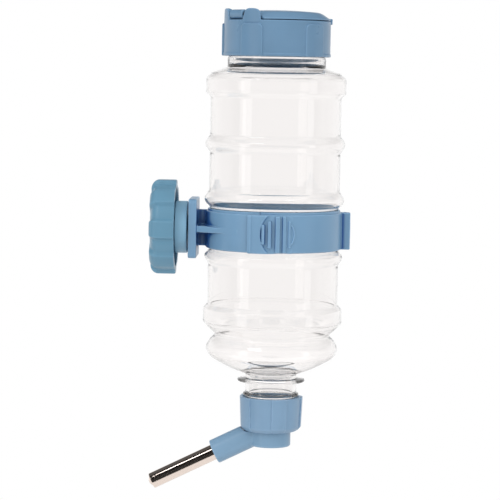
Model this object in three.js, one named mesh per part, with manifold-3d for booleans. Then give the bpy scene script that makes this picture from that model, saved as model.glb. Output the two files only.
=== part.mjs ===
// Hanging rabbit water bottle: a clear two-necked bottle, a screw cap with a flip lid, a latching ring
// holder that clamps on a cage, and a nozzle with a steel ball-valve tube.
// Millimetres, +Z up. The origin is on the clamping face of the holder's plate, on the clamp stud's axis.
// The cage and the knob are on -X, the bottle is on +X and the thumb pad of the ring faces -Y.
import * as THREE from "three";
import { mergeVertices } from "three/addons/utils/BufferGeometryUtils.js";
import Module from "manifold-3d";

const wasm = await Module();
wasm.setup();

// ---------------------------------------------------------------- driving dimensions, mm and degrees
const GAP = 0.3; // clearance between pieces that touch
const PIN_GAP = 0.25; // clearance round the hinge pins

const BOTTLE_X = 42.3; // bottle axis from the clamping face
const BOTTLE_STEPS = 24; // facets round the bottle
const BODY_WALL = 0.8;
const RIB_R = 35; // crowns of the ribs
const WALL_R = 32.7; // plain wall between the ribs
const GROOVE_R = 32; // groove that the ring sits in
const GROOVE_HALF = 10.3; // half its height
const FILL_NECK_R = 24;
const FILL_BORE_R = 22.5;
const FILL_MOUTH_Z = 99.4;
const OUTLET_NECK_R = 12.9;
const OUTLET_BORE_R = 10.9;
const THREAD_R = 12.4; // outlet thread, without its crests
const OUTLET_MOUTH_Z = -95.5;
const NECK_BEAD_R = 14;
const SUPPORT_RING_R = 16.9;

const CAP_R = 26.6;
const CAP_SKIRT_R = 25.2; // inside of the skirt
const CAP_LOW_Z = 86.2;
const CAP_TOP_Z = 104;
const CAP_DECK = 2.4;
const FILL_HOLE_R = 15;
const CAP_PADS = 5;
const CAP_PAD_FIRST = -27; // degrees from the front, positive towards +X
const CAP_PAD_WIDTH = 12;
const CAP_PAD_RISE = 1;
const CAP_PAD_TOP_Z = 102.2;

const LID_HINGE_AZ = -51.5; // degrees from the front
const LID_HINGE_R = 24; // hinge axis from the bottle axis
const LID_HINGE_Z = 106.6;
const LID_R = 26.4;
const LID_TOP_Z = 109.1;
const LID_BARREL_R = 2.3;
const LID_BARREL_HALF = 4.9;
const EAR_R = 2.9;
const EAR_NEAR = 5.3; // ear from here to EAR_FAR along the hinge axis
const EAR_FAR = 15.2;
const EAR_TAPER = 0.6; // how far an ear's outer end leans in
const LID_PIN_R = 0.8;
const LID_PIN_HALF = 8.5;
const LID_TAB_AZ = 128.5;
const LID_TAB_SPAN = 30; // degrees
const LID_TAB_R = 29.3;
const LID_BEVEL_R = 21.5; // where the rim's bevel meets the dome
const LID_BEVEL_Z = 108.1;
const PLUG_R = 14.2; // skirt under the lid that enters the fill hole
const PLUG_WALL = 1.8;
const SEAL_SEAT = 1.2; // depth of the groove for its seal
const SEAL_LOW_Z = 102;
const SEAL_HIGH_Z = 103.2;

const RING_R = 32.3; // inside of the ring
const RING_STEP_R = 33.2; // thin inner lip up to here
const RING_OUT_R = 34;
const RING_ROOT_R = 33.6; // the arm's web and gusset end at this radius, inside the ring
const LIP_HALF = 10;
const BAND_LOW_Z = -9.7;
const BAND_TOP_Z = 8.8;
const HINGE_X = 36.2; // gate hinge axis from the bottle axis
const HINGE_Y = 1.2;
const KNUCKLE_R = 2.1;
const KNUCKLE_HALF = 4; // half the height of the gate's knuckle
const GATE_PIN_R = 0.8;
const TAB_REACH = 38.3;
const PAD_FROM = -21.8; // thumb pad, degrees from the front
const PAD_LIP_TO = -18; // end of its rolled lip
const PAD_SCOOP_FROM = -13;
const PAD_FADE_FROM = -1;
const PAD_TO = 18;
const PAD_SCOOP = 1.2; // depth where the scoop starts
const PAD_SCOOP_END = 0.5; // depth where it fades out
const RIB_AZIMUTHS = [-7.2, -2.1, 4.3, 9.8, 14.2];
const RIB_HALVES = [4.9, 6.6, 8.4, 8.4, 6.6]; // half their heights
const PAD_R = 36.4;
const PAD_LOW_Z = -10.2;
const CATCH_TO = -11; // end of the fixed ring under the thumb pad
const BUMP_R = 0.9; // snap bump on the fixed ring
const BUMP_AZ = -19;

const PLATE = 4.1; // thickness of the clamp plate
const PLATE_SIDE = 29.5;
const WEB_HALF = 9.1; // half the height of the web
const WEB = 3;
const GUSSET = 3.1;

const STUD_R = 4;
const STUD_HEAD_R = 6.2;
const STUD_END_X = -15.8;
const STUD_HEAD_NEAR_X = 1.5;
const STUD_HEAD_FAR_X = 2.9;
const WASHER_R = 13.1;
const WASHER_FACE_X = -0.85;
const WASHER_BACK_X = -7;
const KNOB_R = 23.7;
const KNOB_FLUTE = 1.7; // depth of the flutes
const KNOB_LOBES = 8;
const KNOB_NEAR_X = -6.7;
const KNOB_FAR_X = -19.3;
const KNOB_ROUND = 4;
const KNOB_SHELL = 2.4;
const KNOB_HUB_R = 9;
const NUT_ACROSS = 13; // hex nut in the knob, across its flats
const KNOB_NUT_NEAR_X = -8;
const KNOB_NUT_FAR_X = -13;

const NUT_TOP_Z = -84.7;
const NUT_LOW_Z = -102;
const NUT_TOP_R = 15.6;
const NUT_LOW_R = 14.85;
const NUT_BORE_R = 14.2;
const NUT_PADS = 5;
const NUT_PAD_FIRST = 18;
const NUT_PAD_SPAN = 29;
const NUT_PAD_RISE = 0.6;
const NUT_HOLE_R = 10.7;
const NUT_FLOOR = 2.6; // thickness under the nozzle's flange
const GASKET_IN_R = 8.2;
const GASKET_OUT_R = 13;

const BOSS_R = 10.4;
const BOSS_LOW_Z = -109.9;
const BOSS_CORNER = 1.8;
const CHAMBER_R = 7.4;
const CHAMBER_FLOOR = 2.5;
const PASSAGE_R = 2.1; // drilled from the chamber to the tube
const FLANGE_R = 12.8;
const FLANGE_TOP_Z = -97.5;
const FLANGE = 1.6;
const ARM_Z = -99.9; // where the tube's axis meets the bottle axis
const ARM_SLOPE = 26.4; // degrees below horizontal, towards -X
const ARM_R = 6.2;
const ARM_START = 8.5; // distances along the tube's axis from the bottle axis
const ARM_END = 31.3;
const TUBE_START = 15.3;
const TUBE_END = 66.5;
const TUBE_R = 4;
const TUBE_BORE_R = 3.5;
const TUBE_LIP_R = 3.05;
const TUBE_SEAL_AT = 25;
const SEAL_R = 5.1; // outside of the tube's seal
const SEAL_HALF = 0.8; // half its width
const BALL_R = 3.3;
const BALL_AT = 64.5;

// ---------------------------------------------------------------- materials
const plastic = (colour, roughness = 0.35) =>
  new THREE.MeshStandardMaterial({ color: colour, roughness, metalness: 0 });
const holderBlue = plastic(0x7d9ebe);
const knobBlue = plastic(0x6c99b4);
const capBlue = plastic(0x7398b4);
const nozzleBlue = plastic(0x83aacb);
const silicone = plastic(0xe6e6e2, 0.6);
const steel = new THREE.MeshStandardMaterial({ color: 0xc8c4be, roughness: 0.15, metalness: 1 });
const zinc = new THREE.MeshStandardMaterial({ color: 0xb4b6b8, roughness: 0.4, metalness: 1 });
const clear = new THREE.MeshStandardMaterial({
  color: 0xf4f2f0,
  roughness: 0.05,
  metalness: 0,
  transparent: true,
  opacity: 0.3,
});

// ---------------------------------------------------------------- solids and booleans
function solidOf(geometry) {
  const bare = geometry.clone();
  bare.deleteAttribute("normal");
  bare.deleteAttribute("uv");
  const merged = mergeVertices(bare, 1e-4);
  return new wasm.Manifold(
    new wasm.Mesh({
      numProp: 3,
      vertProperties: merged.attributes.position.array,
      triVerts: new Uint32Array(merged.index.array),
    }),
  );
}

function geometryOf(solid) {
  const mesh = solid.getMesh();
  const geometry = new THREE.BufferGeometry();
  geometry.setAttribute("position", new THREE.BufferAttribute(mesh.vertProperties, 3));
  geometry.setIndex(new THREE.BufferAttribute(mesh.triVerts, 1));
  geometry.computeVertexNormals();
  return geometry;
}

const join = (...shapes) => geometryOf(shapes.map(solidOf).reduce((a, b) => a.add(b)));
const cut = (base, ...tools) =>
  geometryOf(tools.map(solidOf).reduce((a, b) => a.subtract(b), solidOf(base)));
const common = (...shapes) => geometryOf(shapes.map(solidOf).reduce((a, b) => a.intersect(b)));

// ---------------------------------------------------------------- shared shapes
const radians = THREE.MathUtils.degToRad;
const point = (x, y) => new THREE.Vector2(x, y);
const spaced = (count, first) => Array.from({ length: count }, (_, i) => first + (i * 360) / count);

// A solid turned about Z from an outline of [radius, z] that runs anticlockwise.
function turned(outline, steps = 32) {
  const points = outline.map(([radius, z]) => point(radius, z));
  if (points[0].x > 0) points.push(points[0].clone());
  return new THREE.LatheGeometry(points, steps).rotateX(Math.PI / 2);
}

// A ring or washer about Z.
const ring = (inside, outside, low, high, steps = 32) =>
  turned([[inside, low], [outside, low], [outside, high], [inside, high]], steps);

// A cylinder about Z.
const rod = (radius, low, high, steps = 20) =>
  turned([[0, low], [radius, low], [radius, high], [0, high]], steps);

// A box from its two corners.
function box(low, high) {
  const size = high.map((h, i) => h - low[i]);
  const middle = high.map((h, i) => (h + low[i]) / 2);
  return new THREE.BoxGeometry(...size).translate(...middle);
}

// An outline in X-Y pushed up along Z.
function pushed(shape, low, high, curveSegments = 8) {
  const options = { depth: high - low, bevelEnabled: false, curveSegments };
  return new THREE.ExtrudeGeometry(shape, options).translate(0, 0, low);
}

// An outline whose X and Y become Y and Z, pushed along +X.
const pushedAlongX = (shape, from, to, curveSegments) =>
  pushed(shape, from, to, curveSegments).rotateX(Math.PI / 2).rotateZ(Math.PI / 2);

// An outline whose X and Y become X and Z, pushed outwards along -Y.
const pushedOutwards = (shape, from, to, curveSegments) =>
  pushed(shape, from, to, curveSegments).rotateX(Math.PI / 2);

// A shape made along +Z turned to run along +X.
const alongX = (geometry) => geometry.rotateY(Math.PI / 2);

// A shape made facing -Y turned to face an azimuth, in degrees from the front and positive towards +X.
const facing = (geometry, azimuth) => geometry.rotateZ(radians(azimuth));

// A point at a radius and an azimuth.
function polar(radius, azimuth) {
  const angle = radians(azimuth);
  return [radius * Math.sin(angle), -radius * Math.cos(angle)];
}

// A band about Z between two azimuths.
function band(inside, outside, from, to, low, high, curveSegments = 24) {
  const start = radians(from - 90);
  const end = radians(to - 90);
  const shape = new THREE.Shape();
  shape.absarc(0, 0, outside, start, end, false);
  shape.absarc(0, 0, inside, end, start, true);
  shape.closePath();
  return pushed(shape, low, high, curveSegments);
}

function roundedRectangle(left, low, right, high, corner) {
  const shape = new THREE.Shape();
  shape.absarc(right - corner, low + corner, corner, -Math.PI / 2, 0, false);
  shape.absarc(right - corner, high - corner, corner, 0, Math.PI / 2, false);
  shape.absarc(left + corner, high - corner, corner, Math.PI / 2, Math.PI, false);
  shape.absarc(left + corner, low + corner, corner, Math.PI, Math.PI * 1.5, false);
  shape.closePath();
  return shape;
}

// ---------------------------------------------------------------- bottle
// A half-round rib over a crown, from one wall radius to another, listed upwards.
function rib(low, high, lowR, highR, crownR, steps = 4) {
  const points = [];
  for (let i = 0; i <= steps; i++) {
    const t = i / steps;
    const foot = lowR + (highR - lowR) * t;
    points.push([foot + (crownR - foot) * Math.sin(Math.PI * t), low + (high - low) * t]);
  }
  return points;
}

const smooth = (points, steps) =>
  new THREE.SplineCurve(points.map(([x, y]) => point(x, y))).getPoints(steps).map((p) => [p.x, p.y]);

// The support ring and the bead of the outlet neck, above its thread.
function outletNeck() {
  return [
    [THREAD_R, OUTLET_MOUTH_Z],
    [THREAD_R, -84.6],
    [NECK_BEAD_R, -84.1],
    [NECK_BEAD_R, -83],
    [OUTLET_NECK_R, -82.6],
    [OUTLET_NECK_R, -77.2],
    [SUPPORT_RING_R, -76.9],
    [SUPPORT_RING_R, -75.8],
    [OUTLET_NECK_R, -75],
  ];
}

// The bottle between its necks, from the base dome up to the shoulder.
function bottleBarrel() {
  const base = smooth(
    [[OUTLET_NECK_R, -72.8], [21.3, -69.8], [29.9, -65.3], [33, -59.6], [29, -53.5]],
    8,
  );
  const lowRib = [[32.6, -49.6], [34.9, -47], [34.9, -40.4], [WALL_R, -37.9]];
  const lowSeat = rib(-17.6, -GROOVE_HALF, WALL_R, GROOVE_R, 34.7);
  const highSeat = rib(GROOVE_HALF, 19, GROOVE_R, WALL_R, RIB_R);
  const middleRib = rib(38.2, 46.6, WALL_R, WALL_R, RIB_R);
  const highRib = [[WALL_R, 65.5], [RIB_R, 67.8], [RIB_R, 74.5]];
  const shoulder = [[34.5, 76.6], [31.7, 78.1], [26.9, 79.6]];
  return [...base, ...lowRib, ...lowSeat, ...highSeat, ...middleRib, ...highRib, ...shoulder];
}

// Moves an outline that runs upwards in by a thickness, along its normals.
function movedIn(outline, thickness) {
  return outline.map(([radius, z], i) => {
    const before = outline[Math.max(i - 1, 0)];
    const after = outline[Math.min(i + 1, outline.length - 1)];
    const along = point(after[0] - before[0], after[1] - before[1]).normalize();
    return [radius - along.y * thickness, z + along.x * thickness];
  });
}

function bottleBody() {
  const barrel = bottleBarrel();
  const fillNeck = [[24.6, 80.4], [24.6, 85.2], [FILL_NECK_R, 85.8], [FILL_NECK_R, FILL_MOUTH_Z]];
  const inside = [
    [OUTLET_BORE_R, OUTLET_MOUTH_Z],
    [OUTLET_BORE_R, -73],
    ...movedIn(barrel, BODY_WALL).slice(1),
    [FILL_BORE_R, 80.8],
    [FILL_BORE_R, FILL_MOUTH_Z],
  ];
  return turned([...outletNeck(), ...barrel, ...fillNeck, ...inside.reverse()], BOTTLE_STEPS);
}

// ---------------------------------------------------------------- fill cap, lid and their pieces
// A shape made with X along the lid's hinge axis and -Y outwards, turned to its place on the cap.
const atLidHinge = (geometry) => facing(geometry, LID_HINGE_AZ);

// A cylinder on the lid's hinge axis.
const onLidHinge = (radius, half, steps = 16) =>
  atLidHinge(alongX(rod(radius, -half, half, steps)).translate(0, -LID_HINGE_R, LID_HINGE_Z));

function capShell() {
  const deckLow = CAP_TOP_Z - CAP_DECK;
  return turned([
    [CAP_SKIRT_R, CAP_LOW_Z],
    [CAP_R - 0.4, CAP_LOW_Z],
    [CAP_R, CAP_LOW_Z + 0.4],
    [CAP_R, CAP_TOP_Z - 0.4],
    [CAP_R - 0.4, CAP_TOP_Z],
    [FILL_HOLE_R, CAP_TOP_Z],
    [FILL_HOLE_R, deckLow],
    [CAP_SKIRT_R, deckLow],
  ]);
}

// Grip pads stand on the skirt, with rounded upper corners.
function capPad(azimuth) {
  const half = CAP_PAD_WIDTH / 2;
  const outline = roundedRectangle(-half, CAP_LOW_Z - 4, half, CAP_PAD_TOP_Z, 2.5);
  const slab = facing(pushedOutwards(outline, 20, 30, 3), azimuth);
  const skin = ring(CAP_R - 0.6, CAP_R + CAP_PAD_RISE, CAP_LOW_Z, CAP_PAD_TOP_Z + 1);
  return common(slab, skin);
}

// An ear holds one end of the hinge pin: round about the pin, flush with the skirt, leaning in at its
// ends.
function lidEar(side) {
  const foot = CAP_TOP_Z - 0.7;
  const profile = new THREE.Shape();
  profile.absarc(-LID_HINGE_R, LID_HINGE_Z, EAR_R, 0, Math.PI, false);
  profile.lineTo(-LID_HINGE_R - EAR_R, foot);
  profile.lineTo(-LID_HINGE_R + EAR_R, foot);
  profile.closePath();
  const ends = [side * EAR_NEAR, side * EAR_FAR].sort((a, b) => a - b);
  const bar = pushedAlongX(profile, ...ends, 8);
  const top = LID_HINGE_Z + EAR_R + 0.1;
  const lean = new THREE.Shape();
  lean.moveTo(side * EAR_NEAR, foot);
  lean.lineTo(side * EAR_FAR, foot);
  lean.lineTo(side * (EAR_FAR - EAR_TAPER), top - 2.2);
  lean.quadraticCurveTo(side * (EAR_FAR - 1), top, side * (EAR_FAR - 3), top);
  lean.lineTo(side * (EAR_NEAR + 1.6), top);
  lean.quadraticCurveTo(side * (EAR_NEAR + 0.3), top, side * EAR_NEAR, top - 1.8);
  lean.closePath();
  const ear = atLidHinge(common(bar, pushedOutwards(lean, 18, 30, 3)));
  return common(ear, rod(CAP_R, foot, top + 1, 32));
}

function fillCap() {
  const pads = spaced(CAP_PADS, CAP_PAD_FIRST).map(capPad);
  const whole = join(capShell(), ...pads, lidEar(-1), lidEar(1));
  return cut(whole, onLidHinge(LID_PIN_R + PIN_GAP, LID_PIN_HALF + 0.4));
}

const fillCapGasket = () =>
  ring(FILL_BORE_R - 2, CAP_SKIRT_R - GAP, FILL_MOUTH_Z + GAP, CAP_TOP_Z - CAP_DECK - GAP);

// The lid's disc: flat below, bevelled round its rim and gently domed on top.
function lidDisc() {
  const low = CAP_TOP_Z + GAP;
  const crown = LID_TOP_Z - LID_BEVEL_Z;
  const dome = [0.7, 0.35, 0].map((t) => [LID_BEVEL_R * t, LID_TOP_Z - crown * t * t]);
  return turned([[0, low], [LID_R, low], [LID_R, low + 0.6], [LID_BEVEL_R, LID_BEVEL_Z], ...dome]);
}

function flipLid() {
  const low = CAP_TOP_Z + GAP;
  const aboveAll = LID_TOP_Z + 2;
  const barrelSide = LID_BARREL_HALF + 0.05;
  const earNotches = [-1, 1].map((side) => {
    const ends = [side * barrelSide, side * 17].sort((a, b) => a - b);
    return atLidHinge(box([ends[0], -30, low - 1], [ends[1], EAR_R + 0.5 - LID_HINGE_R, aboveAll]));
  });
  const overhang = atLidHinge(box([-barrelSide, -30, low - 1], [barrelSide, -LID_HINGE_R, aboveAll]));
  const disc = cut(lidDisc(), ...earNotches, overhang);
  const plug = cut(
    ring(PLUG_R - PLUG_WALL, PLUG_R, low - 3.7, low + 0.3),
    ring(PLUG_R - SEAL_SEAT, PLUG_R + 1, SEAL_LOW_Z - GAP, SEAL_HIGH_Z + GAP),
  );
  const tabFrom = LID_TAB_AZ - LID_TAB_SPAN / 2;
  const tabTo = LID_TAB_AZ + LID_TAB_SPAN / 2;
  const tabDrop = band(CAP_R + GAP, LID_TAB_R, tabFrom, tabTo, CAP_PAD_TOP_Z + GAP, low + 1, 6);
  const tabRoot = band(LID_R - 1, LID_TAB_R, tabFrom, tabTo, low, low + 1, 6);
  const whole = join(disc, plug, onLidHinge(LID_BARREL_R, LID_BARREL_HALF), tabRoot, tabDrop);
  return cut(whole, onLidHinge(LID_PIN_R + PIN_GAP, LID_BARREL_HALF + 1));
}

const lidSeal = () => ring(PLUG_R - SEAL_SEAT + GAP, FILL_HOLE_R - GAP, SEAL_LOW_Z, SEAL_HIGH_Z);

const lidHingePin = () => onLidHinge(LID_PIN_R, LID_PIN_HALF, 12);

// ---------------------------------------------------------------- ring holder and its gate
// A stretch of the ring's band: a thin inner lip, and a lower outer layer.
function ringBand(from, to, curveSegments) {
  const lip = band(RING_R, RING_STEP_R, from, to, -LIP_HALF, LIP_HALF, curveSegments);
  const layer = band(RING_STEP_R - 0.1, RING_OUT_R, from, to, BAND_LOW_Z, BAND_TOP_Z, curveSegments);
  return join(lip, layer);
}

const onGateHinge = (radius, low, high, steps = 16) =>
  rod(radius, low, high, steps).translate(HINGE_X, HINGE_Y, 0);

// A knuckle of the fixed half of the gate hinge, tied to the end of the fixed ring.
function fixedKnuckle(low, high) {
  const tie = box([RING_OUT_R - 1, HINGE_Y + 0.1, low], [HINGE_X, HINGE_Y + KNUCKLE_R, high]);
  return join(onGateHinge(KNUCKLE_R, low, high), tie);
}

function clampPlate() {
  const half = PLATE_SIDE / 2;
  const plate = pushedAlongX(roundedRectangle(-half, -half, half, half, 2.5), 0, PLATE, 3);
  const shank = alongX(rod(STUD_R + GAP, -1, STUD_HEAD_NEAR_X));
  const head = alongX(rod(STUD_HEAD_R + GAP, STUD_HEAD_NEAR_X - GAP, STUD_HEAD_FAR_X + GAP));
  return cut(plate, shank, head);
}

// The flat gusset that runs from the plate's edges to meet the ring tangentially, on both sides of the
// web.
function gusset() {
  const meet = 33;
  const [x, y] = polar(RING_OUT_R + 0.2, -meet);
  const shape = new THREE.Shape();
  shape.moveTo(PLATE - 0.2, -14);
  shape.lineTo(BOTTLE_X + x, y);
  shape.absarc(BOTTLE_X, 0, RING_ROOT_R, radians(-meet - 90), radians(meet - 270), true);
  shape.lineTo(BOTTLE_X + x, -y);
  shape.lineTo(PLATE - 0.2, 14);
  shape.closePath();
  return pushed(shape, -GUSSET / 2, GUSSET / 2, 12);
}

function bottleHolder() {
  const fixedRing = join(
    ringBand(92, 360 + CATCH_TO, 26),
    fixedKnuckle(BAND_LOW_Z, -KNUCKLE_HALF - GAP),
    fixedKnuckle(KNUCKLE_HALF + GAP, BAND_TOP_Z),
    rod(BUMP_R, -6, 6, 12).translate(...polar(RING_OUT_R - 0.3, BUMP_AZ), 0),
  );
  const ringed = cut(fixedRing, onGateHinge(GATE_PIN_R + PIN_GAP, -20, 20)).translate(BOTTLE_X, 0, 0);
  const web = box([PLATE - 0.2, -WEB / 2, -WEB_HALF], [BOTTLE_X - RING_ROOT_R, WEB / 2, WEB_HALF]);
  return join(ringed, clampPlate(), web, gusset());
}

// How far the thumb pad stands out at an azimuth: a rolled lip, a scoop for the thumb, then a long fade.
function padHeight(azimuth) {
  const rise = PAD_R - RING_OUT_R;
  const lip = (azimuth - PAD_FROM) / 1.6;
  if (lip < 1) return GAP + (rise - GAP) * Math.sqrt(1 - (1 - lip) ** 2);
  if (azimuth < PAD_LIP_TO) return rise;
  const scoop = (azimuth - PAD_LIP_TO) / (PAD_SCOOP_FROM - PAD_LIP_TO);
  if (scoop < 1) return rise - PAD_SCOOP * Math.sin((scoop * Math.PI) / 2);
  const rising = (azimuth - PAD_SCOOP_FROM) / (PAD_FADE_FROM - PAD_SCOOP_FROM);
  if (rising < 1) return rise - PAD_SCOOP + rising * (PAD_SCOOP - PAD_SCOOP_END);
  const fade = (azimuth - PAD_FADE_FROM) / (PAD_TO - PAD_FADE_FROM);
  return (rise - PAD_SCOOP_END) * (1 + Math.cos(Math.PI * fade)) * 0.5;
}

// The thumb pad laps over the end of the fixed ring and grows out of the gate's band.
function thumbPad() {
  const steps = 16;
  const shape = new THREE.Shape();
  shape.moveTo(...polar(RING_OUT_R + GAP, PAD_FROM));
  for (let i = 0; i <= steps; i++) {
    const azimuth = PAD_FROM + ((PAD_TO - PAD_FROM) * i) / steps;
    shape.lineTo(...polar(RING_OUT_R + padHeight(azimuth), azimuth));
  }
  const gateStart = CATCH_TO + 0.6;
  shape.absarc(0, 0, RING_OUT_R - 0.5, radians(PAD_TO - 90), radians(gateStart - 90), true);
  shape.absarc(0, 0, RING_OUT_R + GAP, radians(gateStart - 90), radians(PAD_FROM - 90), true);
  shape.closePath();
  return pushed(shape, PAD_LOW_Z, BAND_TOP_Z, 8);
}

// Upright grip ribs, longest in the middle.
function thumbRibs() {
  const half = 0.7;
  const middle = (BAND_TOP_Z + PAD_LOW_Z) / 2;
  return RIB_AZIMUTHS.map((azimuth, i) => {
    const foot = RING_OUT_R + padHeight(azimuth);
    const low = [-half, -foot - half, middle - RIB_HALVES[i]];
    const high = [half, -foot + half, middle + RIB_HALVES[i]];
    return facing(box(low, high), azimuth);
  });
}

function ringGate() {
  const flange = pushedOutwards(
    roundedRectangle(RING_OUT_R - 0.5, BAND_LOW_Z, TAB_REACH, BAND_TOP_Z, 0.6),
    1.2,
    2.6,
    2,
  );
  const tie = box([RING_OUT_R + GAP, -1.4, -KNUCKLE_HALF], [TAB_REACH, HINGE_Y, KNUCKLE_HALF]);
  const whole = join(
    ringBand(CATCH_TO + 0.6, 88, 12),
    thumbPad(),
    ...thumbRibs(),
    flange,
    tie,
    onGateHinge(KNUCKLE_R, -KNUCKLE_HALF, KNUCKLE_HALF),
  );
  const notch = rod(BUMP_R + GAP, -7, 7, 12).translate(...polar(RING_OUT_R, BUMP_AZ), 0);
  return cut(whole, onGateHinge(GATE_PIN_R + PIN_GAP, -20, 20), notch);
}

const gateHingePin = () => onGateHinge(GATE_PIN_R, BAND_LOW_Z + 0.3, BAND_TOP_Z - 0.3, 12);

// ---------------------------------------------------------------- cage clamp
const clampStud = () =>
  alongX(
    turned([
      [0, STUD_END_X],
      [STUD_R, STUD_END_X],
      [STUD_R, STUD_HEAD_NEAR_X],
      [STUD_HEAD_R, STUD_HEAD_NEAR_X],
      [STUD_HEAD_R, STUD_HEAD_FAR_X],
      [0, STUD_HEAD_FAR_X],
    ], 24),
  );

const clampWasher = () =>
  alongX(
    turned([
      [STUD_R + GAP, WASHER_BACK_X],
      [WASHER_R, WASHER_BACK_X],
      [WASHER_R, WASHER_FACE_X - 0.8],
      [WASHER_R - 0.6, WASHER_FACE_X],
      [STUD_R + GAP, WASHER_FACE_X],
    ], 32),
  );

// The knob's star outline: flat-topped lobes with shallow flutes between them.
function knobOutline() {
  const perLobe = 8;
  const total = KNOB_LOBES * perLobe;
  const shape = new THREE.Shape();
  for (let i = 0; i < total; i++) {
    const phase = Math.cos((2 * Math.PI * i) / perLobe);
    const radius = KNOB_R - KNOB_FLUTE * THREE.MathUtils.smoothstep(-phase, -0.35, 0.5);
    const angle = (2 * Math.PI * i) / total;
    const place = [radius * Math.cos(angle), radius * Math.sin(angle)];
    if (i === 0) shape.moveTo(...place);
    else shape.lineTo(...place);
  }
  shape.closePath();
  return shape;
}

// A hexagonal rod about Z, from half its width across the flats.
const hexagon = (half, low, high) => rod(half / Math.cos(Math.PI / 6), low, high, 6);

function clampKnob() {
  const rim = KNOB_R + 0.1;
  const corner = [0, 1, 2, 3].map((i) => {
    const angle = (Math.PI / 6) * i;
    const inwards = KNOB_ROUND * (1 - Math.sin(angle));
    return [rim - inwards, KNOB_FAR_X + KNOB_ROUND * (1 - Math.cos(angle))];
  });
  const side = [[0, KNOB_FAR_X], ...corner, [rim, KNOB_NEAR_X], [0, KNOB_NEAR_X]];
  const rounding = alongX(turned(side, 32));
  const star = common(pushedAlongX(knobOutline(), KNOB_FAR_X - 1, KNOB_NEAR_X), rounding);
  const shellR = KNOB_R - KNOB_FLUTE - KNOB_SHELL;
  const hubFace = WASHER_BACK_X - GAP;
  const pocket = alongX(ring(KNOB_HUB_R, shellR, KNOB_FAR_X + KNOB_SHELL, 0, 32));
  const mouth = alongX(rod(shellR, hubFace, 0, 32));
  const nutSeat = alongX(hexagon(NUT_ACROSS / 2 + GAP, KNOB_NUT_FAR_X - GAP, 0));
  const bore = alongX(rod(STUD_R + GAP, KNOB_FAR_X + KNOB_SHELL, 0));
  return cut(star, pocket, mouth, nutSeat, bore);
}

const knobNut = () =>
  cut(
    alongX(hexagon(NUT_ACROSS / 2, KNOB_NUT_FAR_X, KNOB_NUT_NEAR_X)),
    alongX(rod(STUD_R + GAP, -30, 0)),
  );

// ---------------------------------------------------------------- outlet nut and nozzle
// A shape made along +Z from the bottle axis, laid along the tube's slope.
const alongTube = (geometry) => geometry.rotateY(radians(-90 - ARM_SLOPE)).translate(0, 0, ARM_Z);

function nutPad(azimuth) {
  const half = NUT_PAD_SPAN / 2;
  const wedge = band(5, 20, azimuth - half, azimuth + half, NUT_LOW_Z, NUT_TOP_Z, 6);
  const skin = turned([
    [NUT_LOW_R - 0.8, NUT_LOW_Z + 0.8],
    [NUT_LOW_R - 0.3, NUT_LOW_Z + 0.8],
    [NUT_LOW_R + NUT_PAD_RISE, NUT_LOW_Z + 2],
    [NUT_TOP_R + NUT_PAD_RISE, NUT_TOP_Z],
    [NUT_TOP_R - 0.8, NUT_TOP_Z],
  ]);
  return common(wedge, skin);
}

function outletNut() {
  const floor = NUT_LOW_Z + NUT_FLOOR;
  const shell = turned([
    [NUT_HOLE_R, NUT_LOW_Z],
    [NUT_LOW_R - 1.6, NUT_LOW_Z],
    [NUT_LOW_R, NUT_LOW_Z + 1.8],
    [NUT_TOP_R, NUT_TOP_Z],
    [NUT_BORE_R, NUT_TOP_Z],
    [NUT_BORE_R, floor],
    [NUT_HOLE_R, floor],
  ]);
  return join(shell, ...spaced(NUT_PADS, NUT_PAD_FIRST).map(nutPad));
}

const outletGasket = () =>
  ring(GASKET_IN_R, GASKET_OUT_R, FLANGE_TOP_Z + GAP, OUTLET_MOUTH_Z - GAP, 32);

function nozzleElbow() {
  const boss = turned([
    [0, BOSS_LOW_Z],
    [BOSS_R - BOSS_CORNER, BOSS_LOW_Z],
    [BOSS_R - BOSS_CORNER * 0.3, BOSS_LOW_Z + BOSS_CORNER * 0.3],
    [BOSS_R, BOSS_LOW_Z + BOSS_CORNER],
    [BOSS_R, FLANGE_TOP_Z],
    [0, FLANGE_TOP_Z],
  ], 32);
  const edge = 0.4;
  const arm = alongTube(
    turned([
      [0, ARM_START],
      [ARM_R, ARM_START],
      [ARM_R, ARM_END - edge],
      [ARM_R - edge, ARM_END],
      [0, ARM_END],
    ], 20),
  );
  const nutRoom = ring(BOSS_R, NUT_LOW_R + NUT_PAD_RISE + GAP, NUT_LOW_Z - GAP, -80);
  const flange = rod(FLANGE_R, FLANGE_TOP_Z - FLANGE, FLANGE_TOP_Z, 32);
  const outside = join(cut(join(boss, arm), nutRoom), flange);
  const chamber = rod(CHAMBER_R, BOSS_LOW_Z + CHAMBER_FLOOR, -80, 32);
  const passage = alongTube(rod(PASSAGE_R, 3, TUBE_START + 1, 16));
  const socket = alongTube(rod(TUBE_R + GAP, TUBE_START - GAP, ARM_END + 1));
  const grooveHalf = SEAL_HALF + GAP;
  const groove = alongTube(
    rod(SEAL_R + GAP, TUBE_SEAL_AT - grooveHalf, TUBE_SEAL_AT + grooveHalf, 16),
  );
  return cut(outside, chamber, passage, socket, groove);
}

const tubeSeal = () =>
  alongTube(ring(TUBE_R + GAP, SEAL_R, TUBE_SEAL_AT - SEAL_HALF, TUBE_SEAL_AT + SEAL_HALF, 16));

// A plain tube whose end is rolled in to keep the ball.
const spoutTube = () =>
  alongTube(
    turned([
      [TUBE_BORE_R, TUBE_START],
      [TUBE_R, TUBE_START],
      [TUBE_R, TUBE_END - 0.5],
      [TUBE_R - 0.25, TUBE_END],
      [TUBE_LIP_R, TUBE_END],
      [TUBE_LIP_R, TUBE_END - 0.4],
      [TUBE_BORE_R, TUBE_END - 1.3],
    ], 20),
  );

const ballAt = (place) => alongTube(new THREE.SphereGeometry(BALL_R, 12, 8).translate(0, 0, place));

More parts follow.
